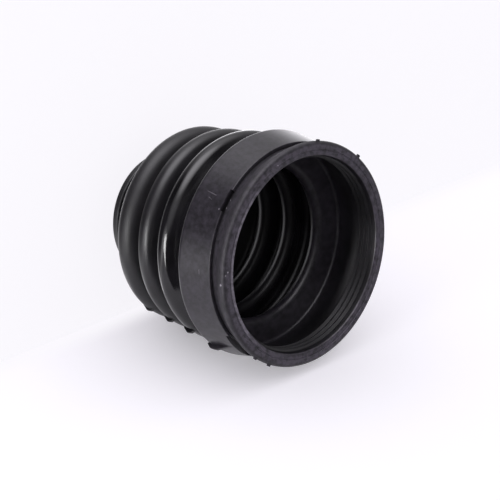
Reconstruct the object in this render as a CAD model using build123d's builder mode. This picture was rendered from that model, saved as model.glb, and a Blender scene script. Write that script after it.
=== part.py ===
from build123d import *
import math
import os

# Rubber bellows boot, moulded in one piece. It stands on its small end: the origin is the
# centre of the small end face, and +Z runs along the boot to the wide mouth. Millimetres.

# Driving dimensions
boot_length = 85.5
wall = 1.8

# Wide mouth: flared clamp seat outside, rounded lead-in and sealing ribs inside
lip_radius = 45.0
lip_width = 2.2
lip_round = 1.3
lip_back_round = 1.0
seat_radius = 41.8
flare_length = 5.8
flare_round = 4.0
seat_width = 1.6
lead_in_radius = 39.6
lead_in_depth = 2.2
lead_in_round = 0.9
mouth_radius = 39.1
mouth_bore_depth = 10.0
rib_count = 3
rib_pitch = 2.5
rib_bore_radius = 38.2
rib_crest_width = 0.5
rib_base_width = 1.9
first_rib_depth = 3.6

# Wide band from the clamp seat to its ridge
band_edge_radius = 43.3
ridge_radius = 45.5
ridge_height = 61.6
ridge_round = 1.8
corner_radius = 42.2
corner_round = 1.2

# Bends of the corrugated wall, from the wide mouth to the small end
valley_heights = (58.0, 42.4, 29.4)
valley_radii = (32.9, 32.5, 31.5)
valley_round = 1.2
crest_heights = (47.4, 34.6, 21.5)
crest_radii = (42.7, 41.0, 39.6)
crest_rounds = (4.3, 4.2, 5.0)

# Small end: clamp neck above a rounded foot lip
foot_radius = 25.4
foot_width = 3.4
foot_round = 1.2
neck_radius = 23.8
neck_width = 6.6
neck_round = 2.5
foot_bore_radius = 20.0
foot_bore_length = 9.0

# Notch in the end of the band, and the slanted trimming cut beside the parting line
notch_width = 9.4
notch_angle = 1.5
notch_depth = 1.0
notch_floor_radius = 41.0
cut_floor_radius = 41.7
cut_from = -7.6
cut_to = 12.4
cut_depths = (1.4, 5.2)

# Moulding flash left on the parting line, as a tab on each crest and on the ridge
parting_angle = 92.0
flash_thickness = 1.2
crest_tab_prouds = (1.5, 1.3, 0.9)
ridge_tab_proud = 1.6
ridge_tab_length = 10.4

# Small teeth of flash left on the edge of the lip
tooth_angles = (-90.5, -58.5, 93.0, 104.0)
tooth_width = 1.4
tooth_height = 0.7

lip_back = boot_length - lip_width
flare_foot = lip_back - flare_length
band_end = flare_foot - seat_width
band_slope = math.degrees(math.atan2(ridge_radius - band_edge_radius, band_end - ridge_height))
neck_top = foot_width + neck_width


def bend(radius, height, rounding, crest):
    """One bend of the wall: the centre and radius of its outer face, and whether it is a crest."""
    inward = -rounding if crest else rounding
    return Vector(radius + inward, height), rounding, crest


bends = [bend(ridge_radius, ridge_height, ridge_round, True)]
for i in range(3):
    bends.append(bend(valley_radii[i], valley_heights[i], valley_round, False))
    bends.append(bend(crest_radii[i], crest_heights[i], crest_rounds[i], True))
bends.append(bend(neck_radius, neck_top, neck_round, False))


def facing(upper, lower):
    """Direction in degrees that the outer face of the flank between two bends looks in."""
    crest, valley = (upper, lower) if upper[2] else (lower, upper)
    across = valley[0] - crest[0]
    heading = math.degrees(math.atan2(across.Y, across.X))
    lean = math.degrees(math.acos((crest[1] + valley[1]) / across.length))
    return (heading + lean if upper[2] else heading - lean) % 360


facings = [band_slope] + [facing(a, b) for a, b in zip(bends, bends[1:])] + [0]


def bend_arc(i, depth):
    """Arc of one bend on the face that lies this deep under the outer one."""
    centre, rounding, crest = bends[i]
    turn = (facings[i + 1] - facings[i] + 180) % 360 - 180
    if crest:
        return CenterArc(centre, rounding - depth, facings[i], turn)
    return CenterArc(centre, rounding + depth, facings[i] + 180, turn)


def tab_edge(rounding, proud):
    """Corners of a flash tab as distance from the centre of its crest and angle round it."""
    outer = [(rounding + 0.3, -62), (rounding + proud, -45), (rounding + proud, -12)]
    fading = [(rounding + 0.7 * proud, 12), (rounding - 0.4, 42)]
    rooted = [(rounding - 0.9, 20), (rounding - 0.9, -20), (rounding - 0.9, -58)]
    return outer + fading + rooted


def join(lines):
    for line, next_line in zip(lines, lines[1:]):
        Line(line @ 1, next_line @ 0)


with BuildPart() as bellows_boot:
    with BuildSketch(Plane.XZ):
        with BuildLine():
            # Outer line: lead-in, lip, flared seat, band, corrugations, neck and foot with its bore
            lip = FilletPolyline(
                (mouth_radius, boot_length - lead_in_depth),
                (lead_in_radius, boot_length),
                (lip_radius, boot_length),
                (lip_radius, lip_back),
                (seat_radius, flare_foot),
                (seat_radius, band_end),
                (band_edge_radius, band_end),
                radius=(lead_in_round, lip_round, lip_back_round, flare_round, 0),
            )
            outer_bends = [bend_arc(i, 0) for i in range(len(bends))]
            foot = FilletPolyline(
                (neck_radius, foot_width + 2),
                (neck_radius, foot_width),
                (foot_radius, foot_width),
                (foot_radius, 0),
                (foot_bore_radius, 0),
                (foot_bore_radius, foot_bore_length),
                radius=(foot_round / 2, foot_round / 2, foot_round, 0),
            )
            join([lip, *outer_bends, foot])
            # Inner line: the same bends an even wall deep, up to the corner behind the ridge
            inner_bends = [bend_arc(i, wall) for i in range(1, len(bends))]
            join(inner_bends)
            Line(foot @ 1, inner_bends[-1] @ 1)
            flank_top = inner_bends[0] @ 0
            flank_run = Vector(1, 0).rotate(Axis.Z, facings[1] + 90)
            corner = flank_top + flank_run * ((corner_radius - flank_top.X) / flank_run.X)
            FilletPolyline(
                flank_top,
                corner,
                (mouth_radius, boot_length - mouth_bore_depth),
                lip @ 0,
                radius=(corner_round, 0),
            )
        make_face()
        # Sealing ribs with narrow flat crests
        rib_height = mouth_radius - rib_bore_radius
        rib_angle = math.degrees(math.atan2(rib_height, (rib_base_width - rib_crest_width) / 2))
        rib_depths = [first_rib_depth + i * rib_pitch for i in range(rib_count)]
        with Locations([(mouth_radius, boot_length - depth) for depth in rib_depths]):
            Trapezoid(rib_base_width, rib_height, rib_angle, rotation=90, align=(Align.CENTER, Align.MIN))
    revolve(axis=Axis.Z)

    # Notch cut into the end of the band
    with BuildSketch(Plane.XY.offset(band_end)):
        with PolarLocations(notch_floor_radius, 1, notch_angle):
            Rectangle(5, notch_width, align=(Align.MIN, Align.CENTER))
    extrude(amount=-notch_depth, mode=Mode.SUBTRACT)

    # Trimming cut: a flat slice off the end of the band that gets deeper along its length
    with BuildSketch(Plane((0, cut_floor_radius, band_end), x_dir=(-1, 0, 0), z_dir=(0, 1, 0))):
        with BuildLine():
            Polyline(
                (cut_from, 0),
                (cut_from, -cut_depths[0]),
                (cut_to, -cut_depths[1]),
                (cut_to, 0),
                close=True,
            )
        make_face()
    extrude(amount=4, mode=Mode.SUBTRACT)

    # Flash where the mould halves meet: each tab hugs the small-end side of its crest
    outward = Vector(1, 0, 0).rotate(Axis.Z, parting_angle)
    across = Vector(0, -1, 0).rotate(Axis.Z, parting_angle)
    with BuildSketch(Plane((0, 0, 0), x_dir=outward, z_dir=across)):
        for i in range(3):
            rounding = crest_rounds[i]
            proud = crest_tab_prouds[i]
            with BuildLine():
                centre = Vector(crest_radii[i] - rounding, crest_heights[i])
                edge = tab_edge(rounding, proud)
                Polyline(*[centre + Vector(reach, 0).rotate(Axis.Z, turn) for reach, turn in edge], close=True)
            make_face()
        with BuildLine():
            tab_end = ridge_height + ridge_tab_length
            Polyline(
                (ridge_radius - 1.6, ridge_height - 0.7),
                (ridge_radius + 0.1, ridge_height - 2.7),
                (ridge_radius + ridge_tab_proud, ridge_height - 0.4),
                (ridge_radius + ridge_tab_proud, ridge_height + 1.6),
                (ridge_radius + 0.9 * ridge_tab_proud, ridge_height + 3.4),
                (band_edge_radius + 0.3, tab_end),
                (band_edge_radius - 0.6, tab_end),
                close=True,
            )
        make_face()
    extrude(amount=flash_thickness / 2, both=True)
    with BuildSketch(Plane.XY.offset(lip_back + lip_width / 2)):
        for angle in tooth_angles:
            with PolarLocations(lip_radius + tooth_height, 1, angle):
                Rectangle(2, tooth_width, align=(Align.MAX, Align.CENTER))
    extrude(amount=tooth_width / 3, both=True)

bellows_boot.part.label = "bellows_boot"
os.makedirs("parts", exist_ok=True)
export_step(bellows_boot.part, "parts/bellows_boot.step")
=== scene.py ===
import bpy
import math
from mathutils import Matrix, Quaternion, Vector


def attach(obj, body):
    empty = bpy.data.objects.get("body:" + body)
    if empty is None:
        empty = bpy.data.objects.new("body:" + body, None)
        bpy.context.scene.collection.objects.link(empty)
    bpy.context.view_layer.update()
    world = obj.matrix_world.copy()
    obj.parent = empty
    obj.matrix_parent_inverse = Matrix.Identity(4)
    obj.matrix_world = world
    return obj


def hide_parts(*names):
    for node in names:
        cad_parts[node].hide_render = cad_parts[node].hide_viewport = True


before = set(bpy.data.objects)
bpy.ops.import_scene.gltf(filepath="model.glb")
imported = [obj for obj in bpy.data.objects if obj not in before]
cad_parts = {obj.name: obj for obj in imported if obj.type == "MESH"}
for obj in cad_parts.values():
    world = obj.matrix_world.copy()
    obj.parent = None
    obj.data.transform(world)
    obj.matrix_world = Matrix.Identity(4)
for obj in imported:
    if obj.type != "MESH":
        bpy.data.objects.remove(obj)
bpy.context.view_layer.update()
scene = bpy.context.scene

# Lengths in the dictionaries are millimetres and angles degrees; the scene itself is in metres.


def mm(*values):
    return tuple(value / 1000 for value in values)


def turned(x, z, angle):
    c, s = math.cos(math.radians(angle)), math.sin(math.radians(angle))
    return Vector((x * c - z * s, x * s + z * c))


def around(angle, radius, height):
    x, y = turned(radius, 0, angle)
    return mm(x, y, height)


camera = {
    "at": (825.5, 257.0, 870.0), "looksAt": (-1.15, 4.04, 55.5), "roll": 106.23,
    "lens": 216, "farthest": 20000,
}


def placeCamera():
    at, target = Vector(mm(*camera["at"])), Vector(mm(*camera["looksAt"]))
    data = bpy.data.cameras.new("camera")
    data.lens = camera["lens"]
    data.clip_end = camera["farthest"] / 1000
    shot = bpy.data.objects.new("camera", data)
    shot.location = at
    shot.rotation_mode = "QUATERNION"
    roll = Quaternion((0, 0, 1), math.radians(camera["roll"]))
    shot.rotation_quaternion = (target - at).to_track_quat("-Z", "Y") @ roll
    scene.collection.objects.link(shot)
    scene.camera = shot


# lamps: compass angle, lift above level, distance, size and power
lamps = {
    "softSide": {"angle": 50, "lift": 8, "away": 1200, "size": (620, 430), "watts": 12.0},
}
aim = (0, 0, 45)  # the point they face


def placeLamp(name):
    lamp = lamps[name]
    data = bpy.data.lights.new(name, "AREA")
    data.shape = "RECTANGLE"
    data.size, data.size_y = mm(*lamp["size"])
    data.energy = lamp["watts"]
    x, z = turned(lamp["away"], 0, lamp["lift"])
    here = Vector(around(lamp["angle"], x, z + aim[2]))
    holder = bpy.data.objects.new(name, data)
    holder.location = here
    holder.rotation_euler = (Vector(mm(*aim)) - here).to_track_quat("-Z", "Y").to_euler()
    holder.visible_camera = False
    scene.collection.objects.link(holder)


def addNode(tree, kind, **settings):
    node = tree.nodes.new(kind)
    for name, value in settings.items():
        if name in node.inputs:
            node.inputs[name].default_value = value
        else:
            setattr(node, name, value)
    return node


def maths(tree, operation, first, second=None):
    node = addNode(tree, "ShaderNodeMath", operation=operation)
    for socket, value in zip(node.inputs, (first, second)):
        if isinstance(value, (int, float)):
            socket.default_value = value
        elif value is not None:
            tree.links.new(value, socket)
    return node.outputs[0]


def mixed(tree, kind, factor, first, second):
    node = addNode(tree, "ShaderNodeMix", data_type=kind)
    sockets = [socket for socket in node.inputs if socket.enabled]
    for socket, value in zip(sockets, (factor, first, second)):
        if isinstance(value, (int, float)):
            socket.default_value = value
        elif isinstance(value, tuple):
            socket.default_value = (*value, 1)
        else:
            tree.links.new(value, socket)
    return [socket for socket in node.outputs if socket.enabled][0]


def ramp(tree, value, fromMin, fromMax, toMin=0.0, toMax=1.0):
    node = addNode(tree, "ShaderNodeMapRange", interpolation_type="SMOOTHSTEP")
    names = ("From Min", "From Max", "To Min", "To Max")
    for name, number in zip(names, (fromMin, fromMax, toMin, toMax)):
        node.inputs[name].default_value = number
    tree.links.new(value, node.inputs["Value"])
    return node.outputs[0]


def raysThatShow(tree):
    path = addNode(tree, "ShaderNodeLightPath").outputs
    some = maths(tree, "ADD", path["Is Camera Ray"], path["Is Glossy Ray"])
    return maths(tree, "MINIMUM", maths(tree, "ADD", some, path["Is Transmission Ray"]), 1)


# what the rubber mirrors of the room: round soft patches, each with its direction, reach and brightness
room = {"dim": 0.05, "patches": (
    {"angle": -35, "lift": 13, "reach": 38, "glow": 3.8},
    {"angle": -53, "lift": -4, "reach": 43, "glow": 1.3},
    {"angle": 52, "lift": -6, "reach": 30, "glow": 2.7},
    {"angle": 0, "lift": 19, "reach": 43, "glow": 1.0},
    {"angle": 97, "lift": -23, "reach": 45, "glow": 2.0},
    {"angle": -104, "lift": -25, "reach": 73, "glow": 0.75},
    {"angle": 178, "lift": -42, "reach": 58, "glow": 2.6},
    {"angle": 170, "lift": 20, "reach": 60, "glow": 0.3},
)}
# paper: tint of everything white; fill: the even light that the room sends onto everything
sky = {"paper": (0.956, 0.940, 0.982), "fill": 0.96}


def roomTone(tree, way):
    total = room["dim"]
    for patch in room["patches"]:
        along = addNode(tree, "ShaderNodeVectorMath", operation="DOT_PRODUCT")
        x, z = turned(1, 0, patch["lift"])
        along.inputs[1].default_value = (*turned(x, 0, patch["angle"]), z)
        tree.links.new(way, along.inputs[0])
        edge = math.cos(math.radians(patch["reach"]))
        soft = ramp(tree, along.outputs["Value"], edge, 1.0, 0.0, patch["glow"])
        total = maths(tree, "ADD", soft, total)
    return total


def glow(tree, strength):
    node = addNode(tree, "ShaderNodeBackground", Color=(*sky["paper"], 1))
    if isinstance(strength, (int, float)):
        node.inputs["Strength"].default_value = strength
    else:
        tree.links.new(strength, node.inputs["Strength"])
    return node.outputs[0]


def choose(tree, factor, first, second):
    pick = addNode(tree, "ShaderNodeMixShader")
    tree.links.new(factor, pick.inputs[0])
    tree.links.new(first, pick.inputs[1])
    tree.links.new(second, pick.inputs[2])
    return pick.outputs[0]


def buildSky():
    world = bpy.data.worlds.new("room")
    world.use_nodes = True
    tree = world.node_tree
    tree.nodes.clear()
    way = addNode(tree, "ShaderNodeTexCoord").outputs["Generated"]
    path = addNode(tree, "ShaderNodeLightPath").outputs
    shown = choose(tree, raysThatShow(tree), glow(tree, sky["fill"]), glow(tree, 1.0))
    mirrored = choose(tree, path["Is Glossy Ray"], shown, glow(tree, roomTone(tree, way)))
    tree.links.new(mirrored, addNode(tree, "ShaderNodeOutputWorld").inputs[0])
    scene.world = world


# floor under the foot, and the table top that leans against the boot's side at two heights
floor = {"size": 9000, "glow": 0.915, "matt": 0.12, "underfoot": 2.0, "underfootRadius": 21}
table = {
    "size": (1600, 1100), "angle": 135, "touches": ((45.5, 61.6), (39.6, 21.5)), "gap": 0.3,
    "glow": 0.30, "matt": 0.88, "blend": 14, "mirroredTo": 95,
}
plainPaper = (0.8, 0.8, 0.8)  # tone of a sheet for the light that it bounces on


def tinted(share):
    return tuple(share * c for c in sky["paper"])


def paper(name, look, fit):
    material = bpy.data.materials.new(name)
    material.use_nodes = True
    tree = material.node_tree
    tree.nodes.clear()
    plain = addNode(tree, "ShaderNodeBsdfDiffuse", Color=(*plainPaper, 1))
    matt = addNode(tree, "ShaderNodeBsdfDiffuse", Color=(*tinted(look["matt"]), 1))
    shine = addNode(tree, "ShaderNodeEmission", Color=(*sky["paper"], 1))
    clear = addNode(tree, "ShaderNodeBsdfTransparent").outputs[0]
    both = addNode(tree, "ShaderNodeAddShader")
    tree.links.new(matt.outputs[0], both.inputs[0])
    tree.links.new(shine.outputs[0], both.inputs[1])
    seen = choose(tree, raysThatShow(tree), plain.outputs[0], both.outputs[0])
    sockets = {"tone": matt.inputs["Color"], "glow": shine.inputs["Strength"]}
    last = choose(tree, fit(tree, look, sockets), seen, clear)
    tree.links.new(last, addNode(tree, "ShaderNodeOutputMaterial").inputs[0])
    return material


# The rubber mirrors the room's soft patches in the floor's place, but for the paper inside the foot, which
# glows brighter to it as painted light for the highlights inside;
# and the room's even light comes up through the floor.
def fitFloor(tree, look, sockets):
    path = addNode(tree, "ShaderNodeLightPath").outputs
    inMirror = path["Is Glossy Ray"]
    # inside the foot the paper glows at the underfoot strength to mirror rays: painted light
    tree.links.new(mixed(tree, "FLOAT", inMirror, look["glow"], look["underfoot"]), sockets["glow"])
    away = addNode(tree, "ShaderNodeVectorMath", operation="LENGTH")
    tree.links.new(addNode(tree, "ShaderNodeTexCoord").outputs["Object"], away.inputs[0])
    outside = maths(tree, "GREATER_THAN", away.outputs["Value"], look["underfootRadius"] / 1000)
    return maths(tree, "MAXIMUM", maths(tree, "MULTIPLY", inMirror, outside), path["Is Diffuse Ray"])


# The table top's lower edge goes over into the floor. From behind the sheet isn't there, and the rubber
# mirrors only its lower part.
def fitTable(tree, look, sockets):
    split = addNode(tree, "ShaderNodeSeparateXYZ")
    tree.links.new(addNode(tree, "ShaderNodeTexCoord").outputs["Object"], split.inputs[0])
    upward = split.outputs["Y"]
    low, blended, end = mm(*[rise - look["size"][1] / 2 for rise in (0, look["blend"], look["mirroredTo"])])
    own = ramp(tree, upward, low, blended)
    tree.links.new(mixed(tree, "FLOAT", own, floor["glow"], look["glow"]), sockets["glow"])
    tree.links.new(mixed(tree, "RGBA", own, tinted(floor["matt"]), tinted(look["matt"])), sockets["tone"])
    beyond = maths(tree, "GREATER_THAN", upward, end)
    beyond = maths(tree, "MULTIPLY", beyond, addNode(tree, "ShaderNodeLightPath").outputs["Is Glossy Ray"])
    return maths(tree, "MAXIMUM", addNode(tree, "ShaderNodeNewGeometry").outputs["Backfacing"], beyond)


def layPaper(name, size, material):
    bpy.ops.object.select_all(action="DESELECT")
    bpy.ops.mesh.primitive_plane_add(size=1)
    sheet = bpy.context.object
    sheet.name = name
    sheet.scale = (*mm(*size), 1)
    bpy.ops.object.transform_apply(location=False, rotation=False)
    sheet.data.materials.append(material)
    return sheet


def buildStage():
    layPaper("floor", (floor["size"], floor["size"]), paper("floorPaper", floor, fitFloor))
    top = layPaper("tableTop", table["size"], paper("tablePaper", table, fitTable))
    (upperOut, upper), (lowerOut, lower) = table["touches"]
    lean = math.degrees(math.atan2(upperOut - lowerOut, upper - lower))
    foot = lowerOut + table["gap"] - lower * math.tan(math.radians(lean))
    half = table["size"][1] / 2
    x, z = foot + half * math.sin(math.radians(lean)), half * math.cos(math.radians(lean))
    top.location = around(table["angle"], x, z)
    facing = Vector(around(table["angle"], -math.cos(math.radians(lean)), math.sin(math.radians(lean))))
    top.rotation_euler = facing.to_track_quat("Z", "Y").to_euler()


# outline pen: one vertex is dragged along or spun on in the XZ plane
pen = {
    "at": Vector((0, 0)), "dot": 1.0, "arcStep": 11.0, "smallArcStep": 18.0, "smallArc": 1.6,
    "longest": 3.4, "shortest": 0.001, "mergeWithin": 0.001,
    # points this far from both ends keep a run flat, where it is this many times as long
    "support": 0.3, "supportedFrom": 4,
}


def penDown(name, x, z):
    bpy.ops.object.select_all(action="DESELECT")
    bpy.ops.mesh.primitive_plane_add(size=pen["dot"] / 1000)
    piece = bpy.context.object
    piece.name = name
    bpy.ops.object.mode_set(mode="EDIT")
    bpy.ops.mesh.select_mode(type="VERT")
    bpy.ops.mesh.select_all(action="SELECT")
    bpy.ops.mesh.merge(type="CENTER")
    bpy.ops.transform.translate(value=mm(x, 0, z))
    pen["at"] = Vector((x, z))
    return piece


def lineTo(x, z):
    start = pen["at"].copy()
    run = Vector((x, z)) - start
    if run.length < pen["shortest"]:
        return
    stops = [1]
    if run.length > pen["supportedFrom"] * pen["support"]:
        near = pen["support"] / run.length
        pieces = math.ceil(run.length / pen["longest"])
        stops = [near] + [i / pieces for i in range(1, pieces)] + [1 - near, 1]
    for stop in stops:
        step = start + run * stop - pen["at"]
        bpy.ops.mesh.extrude_region_move(TRANSFORM_OT_translate={"value": mm(step.x, 0, step.y)})
        pen["at"] = start + run * stop


def swing(centre, turn):
    isSmall = (pen["at"] - centre).length < pen["smallArc"]
    step = pen["smallArcStep" if isSmall else "arcStep"]
    steps = max(2, math.ceil(abs(turn) / step))
    bpy.ops.mesh.spin(steps=steps, angle=math.radians(abs(turn)), center=mm(centre.x, 0, centre.y),
                      axis=(0, 1, 0) if turn > 0 else (0, -1, 0))
    pen["at"] = centre + turned(*(pen["at"] - centre), turn)


def roundTo(corner, rounding, onward):
    corner, onward = Vector(corner), Vector(onward)
    arriving = (corner - pen["at"]).normalized()
    leaving = (onward - corner).normalized()
    turn = -math.degrees(arriving.angle_signed(leaving))
    setBack = rounding * math.tan(math.radians(abs(turn)) / 2)
    lineTo(*(corner - arriving * setBack))
    swing(pen["at"] + turned(*arriving, 90 if turn > 0 else -90) * rounding, turn)


def polyline(points, roundings):
    for i, rounding in enumerate(roundings):
        if rounding:
            roundTo(points[i], rounding, points[i + 1])
        else:
            lineTo(*points[i])
    lineTo(*points[-1])


boot = {
    "length": 85.5, "wall": 1.8, "steps": 220, "creaseAngle": 32,
    "lipRadius": 45.0, "lipWidth": 2.2, "lipRound": 1.5, "lipBackRound": 0.6,
    "seatRadius": 41.8, "flareLength": 5.8, "flareRound": 4.0, "seatWidth": 1.6,
    "leadInRadius": 39.6, "leadInDepth": 2.2, "leadInRound": 0.9,
    # lip face from the inside out: radius, depth under the highest ring of flash
    "lipFace": ((41.1, 0.08), (41.5, 0.34), (41.85, 0.3), (42.0, 0.0), (42.15, 0.0), (42.3, 0.12)),
    "mouthRadius": 39.1, "mouthBoreDepth": 10.0, "mouthRound": 1.5, "boreRun": 0.3,
    "ribDepths": (8.6, 6.1, 3.6), "ribRadius": 38.2, "ribCrest": 0.5, "ribBase": 1.9, "ribRound": 0.15,
    "ribRun": 0.2,
    "bandEdgeRadius": 43.3, "bandEdgeRound": 0.25, "innerCorner": (42.2, 1.2),
    # bends of the wall: radius of the outer face, height and rounding
    "ridge": (45.5, 61.6, 1.8),
    "valleys": ((32.9, 58.0, 1.2), (32.5, 42.4, 1.2), (31.5, 29.4, 1.2)),
    "crests": ((42.7, 47.4, 4.3), (41.0, 34.6, 4.2), (39.6, 21.5, 5.0)),
    "neck": (23.8, 10.0, 2.5),
    "footRadius": 25.4, "footWidth": 3.4, "footRound": 1.2,
    "footBoreRadius": 20.0, "footBoreLength": 9.0, "footBoreRound": 0.4,
}


def bend(radius, height, rounding, isCrest):
    x = radius - rounding if isCrest else radius + rounding
    return {"at": Vector((x, height)), "rounding": rounding, "isCrest": isCrest}


def flankFacing(upper, lower):  # direction that the outer face between two bends looks in
    crest, valley = (upper, lower) if upper["isCrest"] else (lower, upper)
    across = valley["at"] - crest["at"]
    heading = math.degrees(math.atan2(across.y, across.x))
    lean = math.degrees(math.acos((crest["rounding"] + valley["rounding"]) / across.length))
    return heading + lean if upper["isCrest"] else heading - lean


def wallBends():
    bends = [bend(*boot["ridge"], True)]
    for valley, crest in zip(boot["valleys"], boot["crests"]):
        bends += [bend(*valley, False), bend(*crest, True)]
    bends.append(bend(*boot["neck"], False))
    bandEnd = boot["length"] - boot["lipWidth"] - boot["flareLength"] - boot["seatWidth"]
    fromRidge = Vector((boot["bandEdgeRadius"] - boot["ridge"][0], bandEnd - boot["ridge"][1]))
    facings = [math.degrees(math.atan2(-fromRidge.x, fromRidge.y))]
    facings += [flankFacing(upper, lower) for upper, lower in zip(bends, bends[1:])] + [0]
    for i, here in enumerate(bends):
        here["from"] = facings[i] + (0 if here["isCrest"] else 180)
        here["turn"] = (facings[i + 1] - facings[i] + 180) % 360 - 180
    return bends


def drawBend(here, depth, backwards=False):
    reach = here["rounding"] + (-depth if here["isCrest"] else depth)
    start, turn = here["from"], here["turn"]
    if backwards:
        start, turn = start + turn, -turn
    lineTo(*(here["at"] + turned(reach, 0, start)))
    swing(here["at"], turn)


def drawRibs():
    for depth in boot["ribDepths"]:
        middle = boot["length"] - depth
        halfBase, halfCrest = boot["ribBase"] / 2, boot["ribCrest"] / 2
        foot, crest = boot["mouthRadius"], boot["ribRadius"]
        corners = [(foot, middle - halfBase), (crest, middle - halfCrest), (crest, middle + halfCrest),
                   (foot, middle + halfBase), (foot, middle + halfBase + boot["ribRun"])]
        polyline(corners, [boot["ribRound"]] * 4)


def drawBoot():
    lipBack = boot["length"] - boot["lipWidth"]
    flareFoot = lipBack - boot["flareLength"]
    bandEnd = flareFoot - boot["seatWidth"]
    top = boot["length"]
    face = [(radius, top - depth) for radius, depth in boot["lipFace"]]
    bends = wallBends()
    piece = penDown("bootShell", boot["mouthRadius"], top - boot["leadInDepth"])
    # outside: lead-in, lip with its ring of flash, flared seat, band, bends of the wall, foot
    ridgeStart = bends[0]["at"] + turned(bends[0]["rounding"], 0, bends[0]["from"])
    points = [(boot["leadInRadius"], face[0][1]), *face, (boot["lipRadius"], face[-1][1]),
              (boot["lipRadius"], lipBack), (boot["seatRadius"], flareFoot), (boot["seatRadius"], bandEnd),
              (boot["bandEdgeRadius"], bandEnd), ridgeStart]
    polyline(points, [boot["leadInRound"], *[0] * len(face), boot["lipRound"], boot["lipBackRound"],
                      boot["flareRound"], 0, boot["bandEdgeRound"]])
    for here in bends:
        drawBend(here, 0)
    polyline([(boot["neck"][0], boot["footWidth"]), (boot["footRadius"], boot["footWidth"]),
              (boot["footRadius"], 0), (boot["footBoreRadius"], 0),
              (boot["footBoreRadius"], boot["footBoreLength"])],
             [boot["footRound"] / 2, boot["footRound"] / 2, boot["footRound"], boot["footBoreRound"]])
    # inside: the same bends an even wall deep, then the mouth with its sealing ribs
    for here in reversed(bends[1:]):
        drawBend(here, boot["wall"], backwards=True)
    cornerRadius, cornerRound = boot["innerCorner"]
    flank = turned(1, 0, bends[1]["from"] + 90)
    corner = pen["at"] + flank * ((cornerRadius - pen["at"].x) / flank.x)
    boreStart = Vector((boot["mouthRadius"], top - boot["mouthBoreDepth"]))
    polyline([corner, boreStart, boreStart + Vector((0, boot["boreRun"]))], [cornerRound, boot["mouthRound"]])
    drawRibs()
    lineTo(boot["mouthRadius"], top - boot["leadInDepth"])
    # swing the outline once round the axis and close it
    bpy.ops.mesh.select_all(action="SELECT")
    bpy.ops.mesh.remove_doubles(threshold=pen["mergeWithin"] / 1000)
    bpy.ops.mesh.spin(steps=boot["steps"], angle=math.tau, center=(0, 0, 0), axis=(0, 0, 1))
    bpy.ops.mesh.select_all(action="SELECT")
    bpy.ops.mesh.remove_doubles(threshold=pen["mergeWithin"] / 1000)
    bpy.ops.mesh.normals_make_consistent(inside=False)
    bpy.ops.object.mode_set(mode="OBJECT")
    return piece


# notch and slanted trimming cut in the band's upper edge, cut with tools that are a bit bigger
notch = {
    "end": 75.9, "angle": 1.5, "width": 9.4, "depth": 1.0, "floorRadius": 41.0, "toolDepth": 5, "over": 0.02,
}
cut = {"from": -7.6, "to": 12.4, "depths": (1.4, 5.2), "floorRadius": 41.7, "toolDepth": 4}
# flash: tabs on the crests and the ridge, and teeth on the edge of the lip
flash = {
    "angle": 92, "thickness": 1.2, "edge": 0.25, "edgeSegments": 3,
    # a tab's corners round its crest: distance from the rubber, share of how proud it is, angle
    "crestProuds": (1.5, 1.3, 0.9),
    "crestTab": ((0.3, 0, -62), (0, 1, -45), (0, 1, -12), (0, 0.7, 12), (-0.4, 0, 42),
                 (-0.9, 0, 20), (-0.9, 0, -20), (-0.9, 0, -58)),
    # the ridge tab's corners: distance out from the ridge, share of how proud it is, height above it;
    # its two upper ends: distance out from the band's upper edge
    "ridgeProud": 1.6, "ridgeLength": 10.4, "ridgeTabEnds": (0.3, -0.6),
    "ridgeTab": ((-1.6, 0, -0.7), (0.1, 0, -2.7), (0, 1, -0.4), (0, 1, 1.6), (0, 0.9, 3.4)),
    "teeth": {"angles": (-90.5, -58.5, 93.0, 104.0), "radius": 45.7, "height": 84.4, "size": (2, 1.4, 0.9)},
}


def block(name, angle, radius, height, size):
    bpy.ops.object.select_all(action="DESELECT")
    bpy.ops.mesh.primitive_cube_add(size=1, location=around(angle, radius, height),
                                    rotation=(0, 0, math.radians(angle)), scale=mm(*size))
    tool = bpy.context.object
    tool.name = name
    bpy.ops.object.transform_apply(location=True, rotation=True, scale=True)
    return tool


def softenEdges(tool, width):
    bpy.ops.object.mode_set(mode="EDIT")
    bpy.ops.mesh.select_all(action="SELECT")
    bpy.ops.mesh.bevel(offset=width / 1000, segments=flash["edgeSegments"])
    bpy.ops.object.mode_set(mode="OBJECT")


def combine(piece, tool, operation):
    modifier = piece.modifiers.new(tool.name, "BOOLEAN")
    modifier.operation = operation
    modifier.solver = "EXACT"
    modifier.object = tool
    bpy.ops.object.select_all(action="DESELECT")
    bpy.context.view_layer.objects.active = piece
    bpy.ops.object.modifier_apply(modifier=modifier.name)
    bpy.data.objects.remove(tool)


def slab(name, corners, fromY, toY, angle=0):  # a flat plate: outline in XZ, thick along Y
    tool = penDown(name, *corners[0])
    for corner in corners[1:]:
        step = Vector(corner) - pen["at"]
        bpy.ops.mesh.extrude_region_move(TRANSFORM_OT_translate={"value": mm(step.x, 0, step.y)})
        pen["at"] = Vector(corner)
    bpy.ops.mesh.select_all(action="SELECT")
    bpy.ops.mesh.edge_face_add()
    bpy.ops.transform.translate(value=mm(0, fromY, 0))
    bpy.ops.mesh.extrude_region_move(TRANSFORM_OT_translate={"value": mm(0, toY - fromY, 0)})
    bpy.ops.mesh.select_all(action="SELECT")
    bpy.ops.mesh.normals_make_consistent(inside=False)
    bpy.ops.object.mode_set(mode="OBJECT")
    tool.rotation_euler.z = math.radians(angle)
    bpy.ops.object.transform_apply(location=False, rotation=True, scale=False)
    return tool


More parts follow.
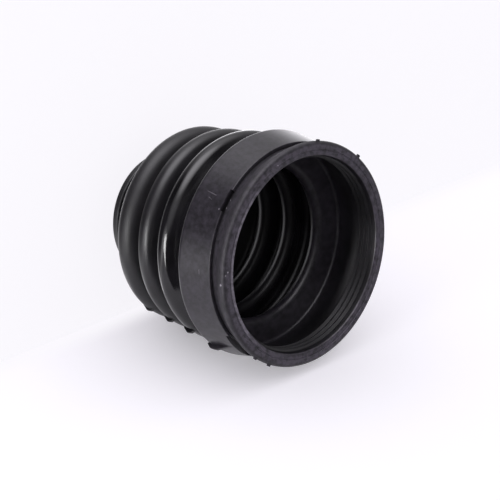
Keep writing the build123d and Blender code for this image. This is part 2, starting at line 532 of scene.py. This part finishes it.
def cutNotches(piece):
    deep, over = notch["toolDepth"], notch["over"]
    middle = notch["end"] - notch["depth"] / 2 + over / 2
    tool = block("notch", notch["angle"], notch["floorRadius"] + deep / 2, middle,
                 (deep, notch["width"], notch["depth"] + over))
    combine(piece, tool, "DIFFERENCE")
    above = notch["end"] + over
    corners = [(-cut["from"], above), (-cut["from"], notch["end"] - cut["depths"][0]),
               (-cut["to"], notch["end"] - cut["depths"][1]), (-cut["to"], above)]
    tool = slab("cut", corners, cut["floorRadius"], cut["floorRadius"] + cut["toolDepth"])
    combine(piece, tool, "DIFFERENCE")


def crestTab(crest, proud):
    radius, height, rounding = crest
    centre = Vector((radius - rounding, height))
    return [centre + turned(rounding + out + share * proud, 0, turn)
            for out, share, turn in flash["crestTab"]]


def ridgeTab():
    radius, height = boot["ridge"][:2]
    proud, end = flash["ridgeProud"], height + flash["ridgeLength"]
    corners = [(radius + out + share * proud, height + up) for out, share, up in flash["ridgeTab"]]
    return corners + [(boot["bandEdgeRadius"] + out, end) for out in flash["ridgeTabEnds"]]


def addFlash(piece):
    tabs = [crestTab(crest, proud) for crest, proud in zip(boot["crests"], flash["crestProuds"])]
    half = flash["thickness"] / 2
    for corners in (*tabs, ridgeTab()):
        tab = slab("flashTab", corners, -half, half, flash["angle"])
        softenEdges(tab, flash["edge"])
        combine(piece, tab, "UNION")
    teeth = flash["teeth"]
    radius = teeth["radius"] - teeth["size"][0] / 2
    for angle in teeth["angles"]:
        tooth = block("lipTooth", angle, radius, teeth["height"], teeth["size"])
        softenEdges(tooth, flash["edge"] / 2)
        combine(piece, tooth, "UNION")


# rubber: heights and radii are where a zone begins and where it is in full
rubber = {
    "dark": (0.0042, 0.0038, 0.0049), "light": (0.0090, 0.0082, 0.0104),
    "mottle": {"scale": 90.0, "detail": 5.0, "roughness": 0.6}, "mottleSpread": (0.35, 0.65),
    "roughness": (0.50, 0.33), "finerUp": (18.0, 44.0),  # the small end is duller
    "polished": {"height": 47.4, "reach": (7.0, 4.2), "roughness": 0.13},  # one bend is smoother
    "grain": {"scale": 1500.0, "detail": 3.0, "roughness": 0.5}, "grainDepth": 0.05, "grainStrength": 0.3,
    # pale bloom on the band and on the lip; on the lip's face it is partly a painted highlight, and inside
    # below the ribs it is painted pale light
    "bloom": (0.064, 0.055, 0.074),
    "cloud": {"scale": 420.0, "detail": 6.0, "roughness": 0.65}, "cloudSpread": (0.25, 0.75, 0.1, 1.9),
    "band": {"heights": (59.5, 62.0), "radii": (44.3, 44.8), "taper": 0.154, "bloom": 0.22,
             "roughness": 0.30},
    "lip": {"heights": (75.0, 77.5), "radii": (39.7, 40.9), "bloom": 0.27, "roughness": 0.58},
    # the lip face's bloom is partly a painted highlight
    "lipFace": {"heights": (84.5, 85.1), "radii": (44.3, 43.2), "bloom": 0.55},
    # painted pale light inside below the ribs, fading towards the mouth
    "inside": {"heights": (56.0, 59.0), "fades": (71.0, 62.0), "bloom": 0.18, "roughness": 0.37,
               "turnsAt": (0.002, -0.004)},
    # the mouth's inner edge is painted pale towards one side, a painted highlight where its rounding catches
    # light
    "mouthEdge": {"heights": (83.6, 84.4), "radii": (41.2, 40.8), "angle": 38, "reach": (22.0, 34.0),
                  "share": 0.5, "tone": (0.20, 0.18, 0.22)},
}
# specks and scratches: angle, radius and height, with the size of each
dust = {
    "tone": (0.30, 0.28, 0.32), "soft": 0.35,
    "specks": ((43.7, 45.0, 83.7, 0.6), (38.8, 43.8, 85.5, 0.4), (37.2, 42.7, 85.5, 0.5),
               (37.0, 39.8, 85.3, 0.5), (-27.7, 42.3, 85.5, 0.33), (7.1, 43.6, 74.2, 0.32),
               (5.1, 41.8, 75.9, 0.35), (0.4, 41.8, 75.9, 0.35)),
    "scratches": (((0.1, 44.8, 65.9), (0.8, 44.2, 70.2), 0.16), ((2.9, 44.6, 67.7), (3.6, 44.4, 69.2), 0.14),
                  ((39.7, 44.1, 70.9), (41.7, 44.1, 70.9), 0.15)),
    "scratchStep": 0.45,
}


def noise(tree, place, look):
    node = addNode(tree, "ShaderNodeTexNoise", Scale=look["scale"], Detail=look["detail"],
                   Roughness=look["roughness"])
    tree.links.new(place, node.inputs["Vector"])
    return node.outputs["Fac"]


def dustPlaces():
    for angle, radius, height, size in dust["specks"]:
        yield Vector(around(angle, radius, height)), size
    for start, end, size in dust["scratches"]:
        start, end = Vector(around(*start)), Vector(around(*end))
        count = math.ceil((end - start).length * 1000 / dust["scratchStep"])
        for i in range(count + 1):
            yield start.lerp(end, i / count), size


def dustOn(tree, place):
    total = 0.0
    for centre, size in dustPlaces():
        away = addNode(tree, "ShaderNodeVectorMath", operation="DISTANCE")
        away.inputs[1].default_value = centre
        tree.links.new(place, away.inputs[0])
        speck = ramp(tree, away.outputs["Value"], size / 1000, size * dust["soft"] / 1000)
        total = maths(tree, "MAXIMUM", speck, total)
    return total


def facesAxis(tree, place):
    level = addNode(tree, "ShaderNodeVectorMath", operation="MULTIPLY")
    level.inputs[1].default_value = (1, 1, 0)
    tree.links.new(place, level.inputs[0])
    outward = addNode(tree, "ShaderNodeVectorMath", operation="DOT_PRODUCT")
    tree.links.new(level.outputs[0], outward.inputs[0])
    tree.links.new(addNode(tree, "ShaderNodeTexCoord").outputs["Normal"], outward.inputs[1])
    return ramp(tree, outward.outputs["Value"], *rubber["inside"]["turnsAt"])


def measures(tree, place):  # x, y, height and radius in millimetres
    inMillimetres = addNode(tree, "ShaderNodeVectorMath", operation="SCALE", Scale=1000.0)
    tree.links.new(place, inMillimetres.inputs[0])
    split = addNode(tree, "ShaderNodeSeparateXYZ")
    tree.links.new(inMillimetres.outputs[0], split.inputs[0])
    x, y, height = split.outputs
    squares = maths(tree, "ADD", maths(tree, "MULTIPLY", x, x), maths(tree, "MULTIPLY", y, y))
    return x, y, height, maths(tree, "SQRT", squares)


def zone(tree, part, height, radius):
    return maths(tree, "MULTIPLY", ramp(tree, height, *part["heights"]), ramp(tree, radius, *part["radii"]))


def bandZone(tree, height, radius):  # the band's radius is measured as if it had no taper
    aboveRidge = maths(tree, "SUBTRACT", height, boot["ridge"][1])
    untapered = maths(tree, "ADD", radius, maths(tree, "MULTIPLY", aboveRidge, rubber["band"]["taper"]))
    return zone(tree, rubber["band"], height, untapered)


def rubberColour(tree, place, x, y, height, radius, onBand, onLip):
    mottle = ramp(tree, noise(tree, place, rubber["mottle"]), *rubber["mottleSpread"])
    cloudy = ramp(tree, noise(tree, place, rubber["cloud"]), *rubber["cloudSpread"])
    colour = mixed(tree, "RGBA", mottle, rubber["dark"], rubber["light"])
    bloom = maths(tree, "MAXIMUM", maths(tree, "MULTIPLY", onBand, rubber["band"]["bloom"]),
                  maths(tree, "MULTIPLY", onLip, rubber["lip"]["bloom"]))
    # painted pale light on the bore wall below the ribs, fading towards the mouth
    inside = rubber["inside"]
    fading = ramp(tree, height, *inside["fades"], 0.0, inside["bloom"])
    paintedLightInside = maths(tree, "MULTIPLY", ramp(tree, height, *inside["heights"]), fading)
    bloom = maths(tree, "MAXIMUM", bloom, paintedLightInside)
    # pale bloom on the lip's face, with a painted highlight in it
    faceBloomAndHighlight = zone(tree, rubber["lipFace"], height, radius)
    bloom = maths(tree, "ADD", bloom, maths(tree, "MULTIPLY", faceBloomAndHighlight, rubber["lipFace"]["bloom"]))
    colour = mixed(tree, "RGBA", maths(tree, "MULTIPLY", bloom, cloudy), colour, rubber["bloom"])
    # painted highlight along the mouth's inner edge, pale towards one side
    edge = rubber["mouthEdge"]
    way = turned(1, 0, edge["angle"])
    along = maths(tree, "ADD", maths(tree, "MULTIPLY", x, way.x), maths(tree, "MULTIPLY", y, way.y))
    paintedEdgeHighlight = maths(tree, "MULTIPLY", zone(tree, edge, height, radius), ramp(tree, along, *edge["reach"]))
    paintedEdgeHighlight = maths(tree, "MULTIPLY", paintedEdgeHighlight, maths(tree, "MULTIPLY", cloudy, edge["share"]))
    colour = mixed(tree, "RGBA", paintedEdgeHighlight, colour, edge["tone"])
    return mixed(tree, "RGBA", dustOn(tree, place), colour, dust["tone"])


def rubberRoughness(tree, place, height, onBand, onLip):
    polished = rubber["polished"]
    fromBend = maths(tree, "ABSOLUTE", maths(tree, "SUBTRACT", height, polished["height"]))
    finish = ramp(tree, height, *rubber["finerUp"], *rubber["roughness"])
    finish = mixed(tree, "FLOAT", ramp(tree, fromBend, *polished["reach"]), finish, polished["roughness"])
    for where, part in ((facesAxis(tree, place), "inside"), (onBand, "band"), (onLip, "lip")):
        finish = mixed(tree, "FLOAT", where, finish, rubber[part]["roughness"])
    return finish


def mouldedRubber():
    material = bpy.data.materials.new("mouldedRubber")
    material.use_nodes = True
    tree = material.node_tree
    tree.nodes.clear()
    place = addNode(tree, "ShaderNodeTexCoord").outputs["Object"]
    x, y, height, radius = measures(tree, place)
    onBand, onLip = bandZone(tree, height, radius), zone(tree, rubber["lip"], height, radius)
    bump = addNode(tree, "ShaderNodeBump", Strength=rubber["grainStrength"],
                   Distance=rubber["grainDepth"] / 1000)
    tree.links.new(noise(tree, place, rubber["grain"]), bump.inputs["Height"])
    shader = addNode(tree, "ShaderNodeBsdfPrincipled")
    colour = rubberColour(tree, place, x, y, height, radius, onBand, onLip)
    tree.links.new(colour, shader.inputs["Base Color"])
    tree.links.new(rubberRoughness(tree, place, height, onBand, onLip), shader.inputs["Roughness"])
    tree.links.new(bump.outputs[0], shader.inputs["Normal"])
    tree.links.new(shader.outputs[0], addNode(tree, "ShaderNodeOutputMaterial").inputs[0])
    return material


def finishBoot(piece):
    piece.data.materials.clear()
    piece.data.materials.append(mouldedRubber())
    bpy.ops.object.select_all(action="DESELECT")
    piece.select_set(True)
    bpy.context.view_layer.objects.active = piece
    bpy.ops.object.shade_smooth_by_angle(angle=math.radians(boot["creaseAngle"]))
    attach(piece, "root")
    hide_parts("bellows_boot")


placeCamera()
for name in lamps:
    placeLamp(name)
buildSky()
buildStage()
print("camera, lamps and stage are up")
shell = drawBoot()
print("boot shell drawn:", len(shell.data.vertices), "points")
cutNotches(shell)
addFlash(shell)
print("notches and flash done:", len(shell.data.polygons), "faces")
finishBoot(shell)
print("rubber is on")
scene.view_settings.view_transform = "Standard"
